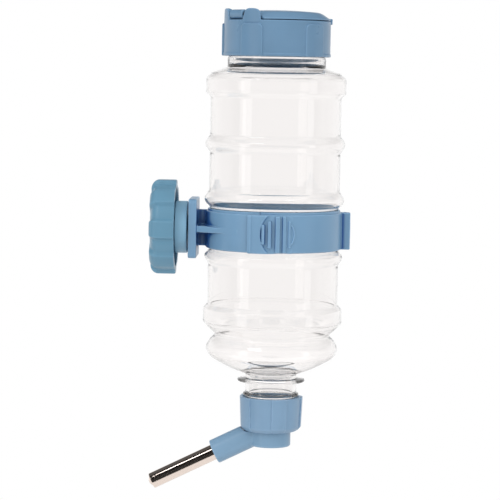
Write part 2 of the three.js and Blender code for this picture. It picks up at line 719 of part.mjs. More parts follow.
// ---------------------------------------------------------------- assembly
const pieces = new THREE.Group();
const onBottleAxis = new THREE.Group();
onBottleAxis.position.x = BOTTLE_X;
pieces.add(onBottleAxis);

function place(parent, name, geometry, material) {
  const mesh = new THREE.Mesh(geometry, material);
  mesh.name = name;
  parent.add(mesh);
}

place(onBottleAxis, "bottle_body", bottleBody(), clear);
place(onBottleAxis, "fill_cap", fillCap(), capBlue);
place(onBottleAxis, "fill_cap_gasket", fillCapGasket(), silicone);
place(onBottleAxis, "flip_lid", flipLid(), capBlue);
place(onBottleAxis, "lid_seal", lidSeal(), silicone);
place(onBottleAxis, "lid_hinge_pin", lidHingePin(), zinc);
place(onBottleAxis, "ring_gate", ringGate(), holderBlue);
place(onBottleAxis, "gate_hinge_pin", gateHingePin(), zinc);
place(onBottleAxis, "outlet_nut", outletNut(), nozzleBlue);
place(onBottleAxis, "outlet_gasket", outletGasket(), silicone);
place(onBottleAxis, "nozzle_elbow", nozzleElbow(), nozzleBlue);
place(onBottleAxis, "tube_seal", tubeSeal(), silicone);
place(onBottleAxis, "spout_tube", spoutTube(), steel);
place(onBottleAxis, "tip_ball", ballAt(BALL_AT), steel);
place(onBottleAxis, "upper_ball", ballAt(BALL_AT - 2 * BALL_R - GAP), steel);
place(pieces, "bottle_holder", bottleHolder(), holderBlue);
place(pieces, "clamp_stud", clampStud(), zinc);
place(pieces, "clamp_washer", clampWasher(), knobBlue);
place(pieces, "clamp_knob", clampKnob(), knobBlue);
place(pieces, "knob_nut", knobNut(), zinc);

export default pieces;
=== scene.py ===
# Looks of the hanging rabbit water bottle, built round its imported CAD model.
# Lengths are millimetres until a mesh is made. The frame is the CAD's: the clamping face of the plate is at
# x = 0, the bottle hangs upright on +X and the thumb pad faces -Y. Azimuths are degrees round the bottle's
# axis from the front, -Y, positive towards +X.
import math

import bpy
import numpy as np
from mathutils import Matrix, Vector


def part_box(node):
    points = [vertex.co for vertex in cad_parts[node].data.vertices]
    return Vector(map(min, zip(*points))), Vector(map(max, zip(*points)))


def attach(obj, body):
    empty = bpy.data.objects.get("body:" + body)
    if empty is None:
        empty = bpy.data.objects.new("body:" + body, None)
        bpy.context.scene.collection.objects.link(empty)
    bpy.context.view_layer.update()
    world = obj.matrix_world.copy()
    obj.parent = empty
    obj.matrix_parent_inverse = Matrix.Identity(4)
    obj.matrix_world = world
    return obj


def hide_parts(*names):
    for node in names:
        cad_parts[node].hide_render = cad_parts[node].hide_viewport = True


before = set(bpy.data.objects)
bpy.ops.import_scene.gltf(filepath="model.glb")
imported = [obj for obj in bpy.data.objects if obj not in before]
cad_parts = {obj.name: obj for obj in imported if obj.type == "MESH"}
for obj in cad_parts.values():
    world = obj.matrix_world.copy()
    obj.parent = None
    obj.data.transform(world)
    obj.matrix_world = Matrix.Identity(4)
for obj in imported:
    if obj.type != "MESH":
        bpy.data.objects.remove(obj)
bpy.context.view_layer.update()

MM = 0.001


# ------------------------------------------------------------------ places taken from the frame
def node_box(node):
    """Lowest and highest corner of a CAD node, in millimetres."""
    low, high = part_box(node)
    return np.array(low) / MM, np.array(high) / MM


body_low, body_high = node_box("bottle_body")
AXIS_X = (body_low[0] + body_high[0]) / 2  # the bottle's axis
OUTLET_MOUTH_Z = body_low[2]
FILL_MOUTH_Z = body_high[2]
WALL_R = 32.7  # plain wall between the ribs
GROOVE_R = 32.0  # groove that the ring sits in
GROOVE_HALF = 10.3
PET = 0.8  # thickness of the blown wall
THREAD_LEAD = 3.0  # outlet thread
CAP_LEAD = 4.0  # fill cap thread

RING_LOW_Z = -9.7
RING_TOP_Z = 8.8
HINGE = (36.2, 1.2)  # gate hinge from the bottle's axis
LID_AZ = math.radians(-51.5)  # the way the lid's hinge faces
LID_HINGE_R = 24.0
LID_HINGE_Z = 106.6
SLOPE = math.radians(26.4)  # of the tube below horizontal
TUBE_Z = -99.9  # where the tube's axis meets the bottle's axis


# ------------------------------------------------------------------ distance fields
# A piece is a function from points to distances, negative inside. Its edges and inner corners are rounded
# by the joins, as on a moulded part.
def slab(value, low, high):
    return np.maximum(low - value, value - high)


def meet(corner, *distances):
    """What faces at right angles enclose, with its edges rounded to a corner radius."""
    inset = [d + corner for d in distances]
    outside = np.sqrt(sum(np.maximum(d, 0) ** 2 for d in inset))
    return outside + np.minimum(np.maximum.reduce(inset), 0) - corner


def join(blend, *distances):
    """Shapes together, with a fillet where they meet."""
    whole = distances[0]
    for other in distances[1:]:
        overlap = np.maximum(blend - np.abs(whole - other), 0)
        whole = np.minimum(whole, other) - overlap**2 / (4 * blend)
    return whole


def trim(blend, *distances):
    """What all shapes have in common, with rounded edges."""
    return -join(blend, *[-d for d in distances])


def cut(blend, whole, *tools):
    return trim(blend, whole, *[-t for t in tools])


def bottle_frame(points):
    """x, y and radius about the bottle's axis, and z."""
    x, y, z = points[:, 0] - AXIS_X, points[:, 1], points[:, 2]
    return x, y, np.hypot(x, y), z


def past(x, y, azimuth):
    """Signed distance past the upright plane at an azimuth."""
    angle = math.radians(azimuth)
    return x * math.cos(angle) + y * math.sin(angle)


def between(x, y, start, end):
    """The sector between two azimuths."""
    before, after = -past(x, y, start), past(x, y, end)
    return np.minimum(before, after) if end - start > 180 else np.maximum(before, after)


def rounded_square(u, v, half, corner):
    return meet(corner, np.abs(u) - half, np.abs(v) - half)


def polar(radius, azimuth):
    angle = math.radians(azimuth)
    return radius * math.sin(angle), -radius * math.cos(angle)


def thread(radius, azimuth, z, lead, starts, low, high):
    """Height from 0 to 1 of a helical thread at a place, run out at both ends."""
    turn = (z / lead * starts - azimuth / (2 * math.pi) * starts) % 1.0
    crest = np.clip(1.3 - np.abs(turn - 0.5) * 5.2, 0, 1)
    ends = np.clip((z - low) / 1.5, 0, 1) * np.clip((high - z) / 1.5, 0, 1)
    return crest * ends


# ------------------------------------------------------------------ meshes from fields
BLOCK = 8
CORNERS = np.array([[i & 1, i >> 1 & 1, i >> 2 & 1] for i in range(8)])
EDGES = [(a, a | 1 << axis) for axis in range(3) for a in range(8) if not a >> axis & 1]


def grid_values(field, low, high, step):
    """The field on a grid. A block of the grid that is far from the surface keeps its middle's value."""
    blocks = np.ceil((high - low) / (BLOCK * step)).astype(int)
    middles = [low[i] + ((np.arange(blocks[i]) + 0.5) * BLOCK - 0.5) * step for i in range(3)]
    coarse = field(np.stack(np.meshgrid(*middles, indexing="ij"), -1).reshape(-1, 3)).reshape(blocks)
    values = coarse.repeat(BLOCK, 0).repeat(BLOCK, 1).repeat(BLOCK, 2)
    reach = (BLOCK / 2 + 1) * step * 2.0
    near = np.argwhere(np.abs(coarse) < reach)
    offsets = np.stack(np.meshgrid(*[np.arange(BLOCK)] * 3, indexing="ij"), -1).reshape(-1, 3)
    for some in np.array_split(near, max(1, len(near) // 500)):
        index = (some[:, None, :] * BLOCK + offsets[None]).reshape(-1, 3)
        values[tuple(index.T)] = field(low + index * step)
    return values


def surface_net(values, low, step):
    """Points and quads of the surface where the values change sign."""
    inside = values < 0
    n = np.array(inside.shape)
    count = sum(
        inside[i : n[0] - 1 + i, j : n[1] - 1 + j, k : n[2] - 1 + k].astype(np.int8) for i, j, k in CORNERS
    )
    crossed = (count > 0) & (count < 8)
    cells = np.argwhere(crossed)
    number = np.full(crossed.shape, -1)
    number[crossed] = np.arange(len(cells))
    corner = values[tuple((cells[:, None, :] + CORNERS[None]).transpose(2, 0, 1))]
    total, crossings = np.zeros((len(cells), 3)), np.zeros(len(cells))
    for a, b in EDGES:
        changes = (corner[:, a] < 0) != (corner[:, b] < 0)
        share = np.where(changes, corner[:, a] / np.where(changes, corner[:, a] - corner[:, b], 1), 0)
        total += changes[:, None] * (CORNERS[a] + share[:, None] * (CORNERS[b] - CORNERS[a]))
        crossings += changes
    points = low + (cells + total / crossings[:, None]) * step
    quads = []
    for axis in range(3):
        u, v = np.eye(3, dtype=int)[(axis + 1) % 3], np.eye(3, dtype=int)[(axis + 2) % 3]
        here = np.take(inside, range(n[axis] - 1), axis)
        there = np.take(inside, range(1, n[axis]), axis)
        start = np.argwhere(here != there)
        quad = np.stack([number[tuple(s.T)] for s in (start - u - v, start - v, start, start - u)], 1)
        facing_back = ~inside[tuple(start.T)]
        quad[facing_back] = quad[facing_back, ::-1]
        quads.append(quad)
    return points, np.concatenate(quads)


def slope(field, points, reach=0.1):
    """The field's gradient and Laplacian at points."""
    ahead = np.stack([field(points + reach * e) for e in np.eye(3)], 1)
    behind = np.stack([field(points - reach * e) for e in np.eye(3)], 1)
    bend = (ahead.sum(1) + behind.sum(1) - 6 * field(points)) / reach**2
    return (ahead - behind) / (2 * reach), bend


def settle(field, points, step):
    """Moves points onto the surface along the gradient."""
    for _ in range(2):
        gradient, _ = slope(field, points)
        move = -(field(points) / np.maximum((gradient**2).sum(1), 0.3))[:, None] * gradient
        length = np.linalg.norm(move, axis=1)[:, None]
        points = points + move * np.minimum(1, 0.5 * step / np.maximum(length, 1e-9))
    return points


def relax(points, quads):
    """Moves each point half way to the middle of its neighbours."""
    total, count = np.zeros_like(points), np.zeros(len(points))
    for shift in (1, -1):
        other = points[np.roll(quads, shift, 1)].reshape(-1, 3)
        for axis in range(3):
            total[:, axis] += np.bincount(quads.ravel(), other[:, axis], len(points))
        count += np.bincount(quads.ravel(), minlength=len(points))
    return 0.5 * points + 0.5 * total / count[:, None]


def shelter(field, points, normals, gradient):
    """How far the piece itself closes in on each point, from 0 in the open to 1 in a deep corner; the plastic is
    painted darker by it, as shade in recesses.
    """
    steep = np.clip(np.linalg.norm(gradient, axis=1), 0.5, 1)
    total = np.zeros(len(points))
    for reach, weight in ((1.0, 0.1), (3.0, 0.35), (8.0, 0.55)):
        total += weight * np.clip(1 - field(points + normals * reach) / (reach * steep), 0, 1)
    return total


def mesh_object(name, points, faces, normals=None, **levels):
    mesh = bpy.data.meshes.new(name)
    mesh.from_pydata(np.asarray(points) * MM, [], faces)
    mesh.shade_smooth()
    for level, values in levels.items():
        mesh.attributes.new(level, "FLOAT", "POINT").data.foreach_set("value", values.astype(np.float32))
    if normals is not None:
        mesh.normals_split_custom_set_from_vertices(normals)
    thing = bpy.data.objects.new(name, mesh)
    bpy.context.scene.collection.objects.link(thing)
    return thing


def moulded(name, field, low, high, step):
    """The smooth skin of a field inside a box."""
    step *= 1.0
    low, high = np.array(low, float) - 3 * step, np.array(high, float) + 3 * step
    points, quads = surface_net(grid_values(field, low, high, step), low, step)
    points = settle(field, points, step)
    for _ in range(2):
        points = settle(field, relax(points, quads), step)
    gradient, bend = slope(field, points)
    normals = gradient / np.maximum(np.linalg.norm(gradient, axis=1)[:, None], 1e-9)
    # how far the piece closes in on each point, kept on the mesh so the plastic can paint shade into its recesses
    hidden = shelter(field, points, normals, gradient)
    return mesh_object(name, points, quads.tolist(), normals, bend=np.clip(bend * 0.4, -1, 1), hidden=hidden)


# ------------------------------------------------------------------ turned meshes
def filleted(corners, arc=5):
    """An outline of (r, z, fillet radius) corners as points, each fillet as an arc."""
    points = []
    count = len(corners)
    for i, (r, z, fillet) in enumerate(corners):
        here = np.array([r, z], float)
        if fillet == 0:
            points.append(here)
            continue
        before = np.array(corners[i - 1][:2]) - here
        after = np.array(corners[(i + 1) % count][:2]) - here
        back, on = before / np.linalg.norm(before), after / np.linalg.norm(after)
        half = math.acos(max(-1, min(1, float(back @ on)))) / 2
        reach = min(fillet / math.tan(half), 0.49 * min(np.linalg.norm(before), np.linalg.norm(after)))
        radius = reach * math.tan(half)
        middle = here + (back + on) / np.linalg.norm(back + on) * (radius / math.sin(half))
        first, last = here + back * reach - middle, here + on * reach - middle
        sweep = math.atan2(first[0] * last[1] - first[1] * last[0], float(first @ last))
        for k in range(arc + 1):
            angle = sweep * k / arc
            c, s = math.cos(angle), math.sin(angle)
            points.append(middle + np.array([first[0] * c - first[1] * s, first[0] * s + first[1] * c]))
    return np.array(points)


def lathe(name, outline, steps, place=None, shift=None):
    """A closed outline of [r, z] that runs anticlockwise, turned about Z and put in place by a 4 x 4 matrix.
    shift(r, angle, z) returns a new radius for a helix or a knurl."""
    outline = np.asarray(outline, float)
    angles = np.arange(steps) * 2 * math.pi / steps
    angle, r = np.meshgrid(angles, outline[:, 0], indexing="ij")
    z = np.broadcast_to(outline[:, 1], r.shape)
    if shift is not None:
        r = shift(r, angle, z)
    ring = len(outline)
    points = np.stack([r * np.cos(angle), r * np.sin(angle), z], -1).reshape(-1, 3)
    index = np.arange(steps * ring).reshape(steps, ring)
    on_axis = outline[:, 0] < 1e-6
    index[:, on_axis] = index[0, on_axis]
    faces = []
    for i in range(steps):
        a, b = index[i], index[(i + 1) % steps]
        for j in range(ring):
            k = (j + 1) % ring
            if on_axis[j] and on_axis[k]:
                continue
            corners = [a[j], b[j], b[k], a[k]]
            faces.append([int(c) for n, c in enumerate(corners) if c not in corners[:n]])
    used = np.unique(np.concatenate([np.array(f) for f in faces]))
    renumber = np.full(len(points), -1)
    renumber[used] = np.arange(len(used))
    points = points[used]
    faces = [[int(renumber[c]) for c in f] for f in faces]
    if place is not None:
        place = np.array(place)
        points = points @ place[:3, :3].T + place[:3, 3]
    return mesh_object(name, points, faces)


def upright(z=0.0):
    """The place of a turned piece on the bottle's axis."""
    return Matrix.Translation((AXIS_X, 0, z))


def along_tube():
    """The place of a piece turned about the tube, whose z is the distance from the bottle's axis."""
    return Matrix.Translation((AXIS_X, 0, TUBE_Z)) @ Matrix.Rotation(-math.pi / 2 - SLOPE, 4, "Y")


def along_x():
    """The place of a piece turned about the clamp's screw, whose z is x."""
    return Matrix.Rotation(math.pi / 2, 4, "Y")


def lid_axis():
    """The place of a piece turned about the lid's hinge."""
    x, y = LID_HINGE_R * math.sin(LID_AZ), -LID_HINGE_R * math.cos(LID_AZ)
    turn = Matrix.Rotation(LID_AZ, 4, "Z") @ Matrix.Rotation(math.pi / 2, 4, "Y")
    return Matrix.Translation((AXIS_X + x, y, LID_HINGE_Z)) @ turn


def gate_axis():
    return Matrix.Translation((AXIS_X + HINGE[0], HINGE[1], 0))


# ------------------------------------------------------------------ bottle
def half_sine(low, high, low_r, high_r, crown, steps=14):
    """A round rib between two wall radii."""
    t = np.linspace(0, 1, steps + 1)
    foot = low_r + (high_r - low_r) * t
    return np.stack([foot + (crown - foot) * np.sin(math.pi * t), low + (high - low) * t], 1)


def spline(points, steps):
    """A Catmull-Rom curve through points."""
    p = np.array(points, float)
    p = np.vstack([2 * p[0] - p[1], p, 2 * p[-1] - p[-2]])
    out = []
    for i in range(1, len(p) - 2):
        for t in np.linspace(0, 1, steps, endpoint=False):
            a, b, c, d = p[i - 1 : i + 3]
            square, cube = t * t, t**3
            out.append(
                0.5 * (2 * b + (c - a) * t + (2 * a - 5 * b + 4 * c - d) * square + (3 * b - a - 3 * c + d) * cube)
            )
    out.append(p[-2])
    return np.array(out)


def densified(points, longest):
    """The same polyline with its long sides divided."""
    out = [points[0]]
    for a, b in zip(points[:-1], points[1:]):
        count = max(1, math.ceil(np.linalg.norm(b - a) / longest))
        out.extend(a + (b - a) * k / count for k in range(1, count + 1))
    return np.array(out)


def barrel_outline():
    """The blown body from the foot of the outlet neck to the foot of the fill neck, upwards."""
    base = spline([(14.6, -72.6), (21.3, -69.9), (29.9, -65.3), (32.6, -62.2), (33, -59.6), (31.6, -56.4)], 6)
    waist = filleted(
        [(31.6, -56.4, 0), (28.7, -53.4, 1.2), (33, -49.2, 1.2), (34.9, -47, 1.6), (34.9, -40.2, 1.8),
         (WALL_R, -37.9, 1.0), (WALL_R, -30, 0)],
    )
    seat_low = half_sine(-17.6, -GROOVE_HALF, WALL_R, GROOVE_R, 34.7)
    seat_high = half_sine(GROOVE_HALF, 19, GROOVE_R, WALL_R, 35)
    middle = half_sine(38.2, 46.6, WALL_R, WALL_R, 35)
    shoulder = filleted(
        [(WALL_R, 60, 0), (WALL_R, 65.5, 1.2), (35, 67.8, 1.4), (35, 75.4, 2.4), (31.7, 78.2, 5),
         (26.4, 79.9, 3), (24.6, 80.7, 0)],
    )
    return np.vstack([base[:-1], waist, seat_low, seat_high, middle, shoulder])


def eased(outline, rounds):
    """The same outline with its bends softened."""
    out = outline.copy()
    for _ in range(rounds):
        out[1:-1] = (out[:-2] + 2 * out[1:-1] + out[2:]) / 4
    return out


def moved_in(outline, thickness):
    """An upward outline moved towards the inside along its normals."""
    along = np.gradient(outline, axis=0)
    along /= np.linalg.norm(along, axis=1)[:, None]
    return np.stack([outline[:, 0] - along[:, 1] * thickness, outline[:, 1] + along[:, 0] * thickness], 1)


OUTLET_THREAD = (OUTLET_MOUTH_Z + 1.2, -85.6)
FILL_THREAD = (88.4, 98.0)


def bottle_mesh():
    neck = filleted(
        [(12.4, OUTLET_MOUTH_Z, 0.3), (12.4, -84.6, 0.3), (14, -84.2, 0.4), (14, -83, 0.4), (12.9, -82.6, 0.4),
         (12.9, -77.2, 0.4), (16.9, -76.9, 0.45), (16.9, -75.8, 0.45), (12.9, -75.2, 0.5), (12.9, -73, 1.0),
         (14.6, -72.6, 0)],
    )[5:]
    mouth = filleted([(10.9, OUTLET_MOUTH_Z, 0.3), (12.4, OUTLET_MOUTH_Z, 0.3), (12.4, -90, 0), (10.9, -90, 0)])[:12]
    barrel = barrel_outline()
    fill_neck = filleted(
        [(24.6, 80.7, 0), (24.6, 85.2, 0.4), (24, 85.8, 0.4), (24, FILL_MOUTH_Z, 0.5), (22.5, FILL_MOUTH_Z, 0.5),
         (22.5, 90, 0)],
    )
    inside = moved_in(eased(densified(barrel, 0.6), 5), PET)
    bore = spline([(14.9, -71.55), (12.7, -72.6), (11.4, -74.4), (10.95, -77), (10.9, -80)], 5)
    outer = densified(np.vstack([mouth, neck[1:-1], barrel, fill_neck[1:]]), 0.8)
    inner = np.vstack([[(22.5, 83), (22.9, 81.4)], inside[::-1][2:-2], bore, [(10.9, -94.5)]])
    outline = np.vstack([outer, densified(inner, 1.5)])

    def threads(r, angle, z):
        outlet = thread(r, angle, z, THREAD_LEAD, 1, *OUTLET_THREAD) * (r > 12.2) * (r < 12.6) * (z < -84.9)
        fill = thread(r, angle, z, CAP_LEAD, 1, *FILL_THREAD) * (r > 23.8) * (z > 86)
        return r + 0.9 * outlet + 0.65 * fill

    steps = 208
    return lathe("clear_bottle", outline, steps, upright(), threads)


# ------------------------------------------------------------------ fill cap and lid
CAP_R = 26.6
CAP_LOW_Z = 86.2
CAP_TOP_Z = 104.0
CAP_SKIRT_R = 25.2
CAP_PAD_AZIMUTHS = [-27 + 72 * i for i in range(5)]


def lid_frame(x, y):
    """Distance along the lid's hinge and outwards across it."""
    return x * math.cos(LID_AZ) + y * math.sin(LID_AZ), x * math.sin(LID_AZ) - y * math.cos(LID_AZ)


def cap_field(points):
    x, y, r, z = bottle_frame(points)
    u, w = lid_frame(x, y)
    shell = meet(0.7, r - CAP_R, slab(z, CAP_LOW_Z, CAP_TOP_Z))
    # a fine bead round the bottom edge
    bead = meet(0.35, slab(r, CAP_R - 1, CAP_R + 0.25), slab(z, CAP_LOW_Z, CAP_LOW_Z + 1.5))
    whole = join(0.2, shell, bead)
    for azimuth in CAP_PAD_AZIMUTHS:
        angle = math.radians(azimuth)
        across = x * math.cos(angle) + y * math.sin(angle)
        out = x * math.sin(angle) - y * math.cos(angle)
        face = meet(2.6, np.abs(across) - 6, slab(z, CAP_LOW_Z - 4, 102.2))
        pad = meet(0.45, face, slab(r, CAP_R - 1.2, CAP_R + 1), CAP_LOW_Z - z)
        whole = join(0.45, whole, np.maximum(pad, 10 - out))
    over_pin = np.hypot(w - LID_HINGE_R, np.maximum(z - LID_HINGE_Z, 0)) - 2.9
    post = np.maximum(np.where(z > LID_HINGE_Z, over_pin, np.abs(w - LID_HINGE_R) - 2.9), CAP_TOP_Z - 1 - z)
    for side in (-1, 1):
        near = 5.3 + 0.34 * np.maximum(z - CAP_TOP_Z, 0)
        far = 15.2 - 0.12 * np.maximum(z - CAP_TOP_Z, 0)
        ends = np.maximum(near - side * u, side * u - far) * 0.94
        ear = trim(1.6, post, ends)
        whole = join(0.35, whole, trim(0.5, ear, r - CAP_R))
    turn = np.arctan2(y, x)
    ridge = 0.75 * thread(r, turn + math.pi, z, CAP_LEAD, 1, FILL_THREAD[0] - 0.5, FILL_THREAD[1] + 0.5)
    inside = meet(0.5, r - CAP_SKIRT_R + ridge, slab(z, CAP_LOW_Z - 9, CAP_TOP_Z - 2.4))
    hole = meet(0.2, r - 15, slab(z, 80, 120))
    pin = meet(0.9, np.hypot(w - LID_HINGE_R, z - LID_HINGE_Z) - 0.95, np.abs(u) - 8.8)
    return cut(0.05, cut(0.3, whole, inside, hole), pin)


def lid_field(points):
    x, y, r, z = bottle_frame(points)
    u, w = lid_frame(x, y)
    low = CAP_TOP_Z + 0.3
    bevel = 0.547 * (r - 21.5) + 0.837 * (z - 108.1)
    dome = (z - 109.1 + (r / 21.5) ** 2) * 0.99
    disc = trim(0.35, low - z, r - 26.4, trim(0.9, bevel, dome))
    beside = meet(0.3, 4.95 - np.abs(u), 20.6 - w)
    ahead = np.maximum(np.abs(u) - 5.2, LID_HINGE_R - w)
    disc = cut(0.3, disc, beside, ahead)
    barrel = meet(0.5, np.hypot(w - LID_HINGE_R, z - LID_HINGE_Z) - 2.3, np.abs(u) - 4.9)
    plug = meet(0.3, slab(r, 12.4, 14.2), slab(z, low - 3.7, low + 0.5))
    groove = meet(0.2, slab(r, 13.0, 15.2), slab(z, 101.7, 103.5))
    tab_side = between(x, y, 109.5, 147.5)
    tab_out = meet(0.6, slab(r, 25.4, 29.3), slab(z, low, low + 1.1), tab_side)
    tab_lip = meet(0.5, slab(r, 26.9, 29.3), slab(z, 102.5, low + 1.1), tab_side)
    clear = meet(0.2, r - 26.9, slab(z, 90, low))
    whole = join(0.5, disc, barrel, cut(0.2, join(0.4, tab_out, tab_lip), clear))
    whole = join(0.2, whole, cut(0.2, plug, groove))
    pin = meet(0.1, np.hypot(w - LID_HINGE_R, z - LID_HINGE_Z) - 1.05, np.abs(u) - 7)
    return cut(0.2, whole, pin)


# ------------------------------------------------------------------ ring holder and gate
def ring_field(r, z):
    """The ring's section: a thin inner lip and a lower outer layer."""
    lip = meet(0.3, slab(r, 32.3, 33.2), slab(z, -10, 10))
    layer = meet(0.4, slab(r, 32.8, 34), slab(z, RING_LOW_Z, RING_TOP_Z))
    return join(0.25, lip, layer)


def holder_field(points):
    x, y, r, z = bottle_frame(points)
    ring = meet(0.3, ring_field(r, z), between(x, y, 92, 349))
    bump_x, bump_y = polar(33.7, -19)
    bump = meet(0.4, np.hypot(x - bump_x, y - bump_y) - 0.9, np.abs(z) - 6)
    whole = join(0.25, ring, bump)
    hinge_x, hinge_y = HINGE
    for low, high in ((RING_LOW_Z, -4.3), (4.3, RING_TOP_Z)):
        knuckle = meet(0.3, np.hypot(x - hinge_x, y - hinge_y) - 2.1, slab(z, low, high))
        tie = meet(0.3, slab(x, 33, hinge_x), slab(y, hinge_y + 0.1, hinge_y + 2.1), slab(z, low, high))
        whole = join(0.3, whole, join(0.3, knuckle, tie))
    whole = cut(0.15, whole, np.hypot(x - hinge_x, y - hinge_y) - 1.05)
    from_face = points[:, 0]
    plate = meet(0.5, rounded_square(y, z, 14.75, 2.5), slab(from_face, 0, 4.1))
    web = meet(0.4, slab(from_face, 3, AXIS_X - 33.6), np.abs(y) - 1.5, np.abs(z) - 9.1)
    # the gusset's front edge runs from the plate's edge to the ring, and mirrors behind the web
    end_x, end_y = polar(33.75, -33)
    run = np.array([AXIS_X + end_x - 4.1, end_y + 13.6])
    run /= np.linalg.norm(run)
    edge = -((from_face - 4.1) * run[1] * -1 + (-np.abs(y) + 13.6) * run[0])
    wing = trim(0.5, edge, np.maximum(past(x, -np.abs(y), -31), 33.4 - r))
    thin = 1.6 - 0.55 * np.clip((from_face - 8) / 15, 0, 1)
    gusset = meet(0.4, trim(0.4, wing, 3 - from_face), np.abs(z) - thin)
    whole = join(0.7, whole, join(0.9, plate, web, gusset))
    from_screw = np.hypot(y, z)
    shank = np.maximum(from_screw - 4.3, from_face - 2)
    head = meet(0.2, from_screw - 6.5, slab(from_face, 1.2, 3.2))
    return cut(0.15, whole, shank, head)


PAD_FROM = -20.6  # the thumb pad, between these azimuths
PAD_TO = 18
RIB_AZIMUTHS = [-7.2, -2.1, 4.3, 9.8, 14.2]
RIB_HALVES = [4.9, 6.7, 9.0, 9.0, 6.7]  # half their heights
RIB_WIDTHS = [0.75, 0.85, 1.15, 0.95, 0.7]  # half their widths
PAD_MIDDLE_Z = -0.7


def pad_top(azimuth):
    """Radius of the pad's crown: level, then fading into the band towards +X."""
    fade = np.clip((azimuth + 1) / 20, 0, 1)
    return 36.3 - 2.25 * fade * fade * (3 - 2 * fade)


def gate_field(points):
    x, y, r, z = bottle_frame(points)
    hinge_x, hinge_y = HINGE
    azimuth = np.degrees(np.arctan2(x, -y))
    up = z - PAD_MIDDLE_Z
    band = meet(0.3, ring_field(r, z), between(x, y, -10.4, 88))
    # the thumb pad: a rolled lip on the left, a dished middle, fading into the band on the right
    top = pad_top(azimuth)
    along = np.radians(azimuth - 5) * 35
    edge = between(x, y, PAD_FROM, PAD_TO)
    pad = meet(1.1, r - top, slab(z, -10.2, RING_TOP_Z), edge)
    under = np.where(azimuth < -10.7, 34.3, 33.5)
    pad = np.maximum(pad, under - r)
    # the flat beside the lip, then the dish
    flat = trim(0.6, top - 0.8 - r, between(x, y, -16.6, 0))
    pad = cut(0.8, pad, flat)
    dish = (np.sqrt((along / 8.9) ** 2 + (up / 11.0) ** 2) - 1) * 8.5
    floor = np.maximum(top - 2.1, np.where(azimuth < -9.5, 35.0, 33.6))
    pad = cut(0.7, pad, trim(1.2, dish, floor - r))
    for rib_azimuth, half, width in zip(RIB_AZIMUTHS, RIB_HALVES, RIB_WIDTHS):
        angle = math.radians(rib_azimuth)
        across = x * math.cos(angle) + y * math.sin(angle)
        crest = float(pad_top(np.array(rib_azimuth))) - 0.1 + 0.35 * (rib_azimuth > 12)
        bar = meet(0.6, np.abs(across) - width, np.abs(up) - half, slab(r, 33.2, crest))
        pad = join(0.35, pad, np.maximum(bar, y))
    # the last one is bowed and closes the dish
    bow = np.abs(np.hypot(along, up) - 8.1) - 0.45
    bow = meet(0.4, bow, slab(r, 33.4, 34.55), np.abs(up) - 5.2)
    pad = join(0.25, pad, np.maximum(bow, 5 - along))
    whole = join(0.35, band, pad)
    flange = meet(0.5, slab(x, 33.5, 38.3), slab(y, -2.6, -1.2), slab(z, RING_LOW_Z, RING_TOP_Z))
    tie = meet(0.3, slab(x, 34.3, 38.3), slab(y, -2, hinge_y), np.abs(z) - 4)
    knuckle = meet(0.3, np.hypot(x - hinge_x, y - hinge_y) - 2.1, np.abs(z) - 4)
    whole = join(0.35, whole, join(0.3, flange, tie, knuckle))
    notch_x, notch_y = polar(34, -19)
    notch = meet(0.2, np.hypot(x - notch_x, y - notch_y) - 1.2, np.abs(z) - 7)
    return cut(0.15, whole, np.hypot(x - hinge_x, y - hinge_y) - 1.05, notch)


# ------------------------------------------------------------------ clamp
KNOB_R = 23.7
KNOB_FAR_X = -19.3
KNOB_NEAR_X = -6.7
HEX_FLATS = np.radians([30, 90, 150])  # the ways the hex nut's flats face


def knob_field(points):
    x, y, z = points.T
    rho = np.hypot(y, z)
    turn = np.arctan2(z, y)
    wave = np.clip((-np.cos(8 * turn) + 0.35) / 0.85, 0, 1)
    flute = wave * wave * (3 - 2 * wave)
    outside = (rho - KNOB_R + 1.7 * flute) * 0.9
    face_dip = 0.9 * flute * np.clip((rho - 12) / 7, 0, 1)
    star = meet(4.0, outside, KNOB_FAR_X + face_dip - x)
    star = meet(0.5, star, x - KNOB_NEAR_X)
    pocket = meet(0.8, slab(rho, 9, 19.6), slab(x, KNOB_FAR_X + 2.4, 5))
    mouth = meet(0.3, rho - 19.6, slab(x, -7.3, 5))
    hexagon = np.maximum.reduce([np.abs(y * math.cos(a) + z * math.sin(a)) for a in HEX_FLATS])
    seat = np.maximum(hexagon - 6.8, -13.3 - x)
    bore = np.maximum(rho - 4.3, KNOB_FAR_X + 2.4 - x)
    whole = cut(0.4, star, pocket, mouth)
    # six thin ribs brace the hub to the rim inside the hollow
    brace = np.minimum.reduce([np.abs(-y * math.sin(a) + z * math.cos(a)) for a in np.arange(3) * math.pi / 3 + 0.3])
    braces = meet(0.3, brace - 0.7, slab(rho, 8, 21), slab(x, KNOB_FAR_X + 2, -10.5))
    return cut(0.2, join(0.5, whole, braces), seat, bore)


# ------------------------------------------------------------------ outlet nut and nozzle
NUT_TOP_Z = -84.7
NUT_LOW_Z = -102.0


def nut_chamfer(r, z):
    return (r - 13.25 - (z - NUT_LOW_Z) * 0.89) * 0.75


def nut_field(points):
    x, y, r, z = bottle_frame(points)
    taper = 14.85 + 0.75 * (z - NUT_LOW_Z) / (NUT_TOP_Z - NUT_LOW_Z)
    chamfer = nut_chamfer(r, z)
    body = trim(0.4, meet(0.3, r - taper, slab(z, NUT_LOW_Z, NUT_TOP_Z)), chamfer)
    for azimuth in [18 + 72 * i for i in range(5)]:
        side = between(x, y, azimuth - 14.5, azimuth + 14.5)
        pad = meet(0.3, side, r - taper - 0.62, slab(z, NUT_LOW_Z + 0.6, NUT_TOP_Z), 12 - r)
        body = join(0.3, body, trim(0.3, pad, chamfer - 0.25))
    turn = np.arctan2(y, x)
    ridge = 0.85 * thread(r, turn + math.pi, z, THREAD_LEAD, 1, -97, -86)
    bore = meet(0.3, r - 14.2 + ridge, slab(z, NUT_LOW_Z + 2.6, -60))
    hole = meet(0.2, r - 10.7, slab(z, -120, -60))
    return cut(0.2, body, bore, hole)


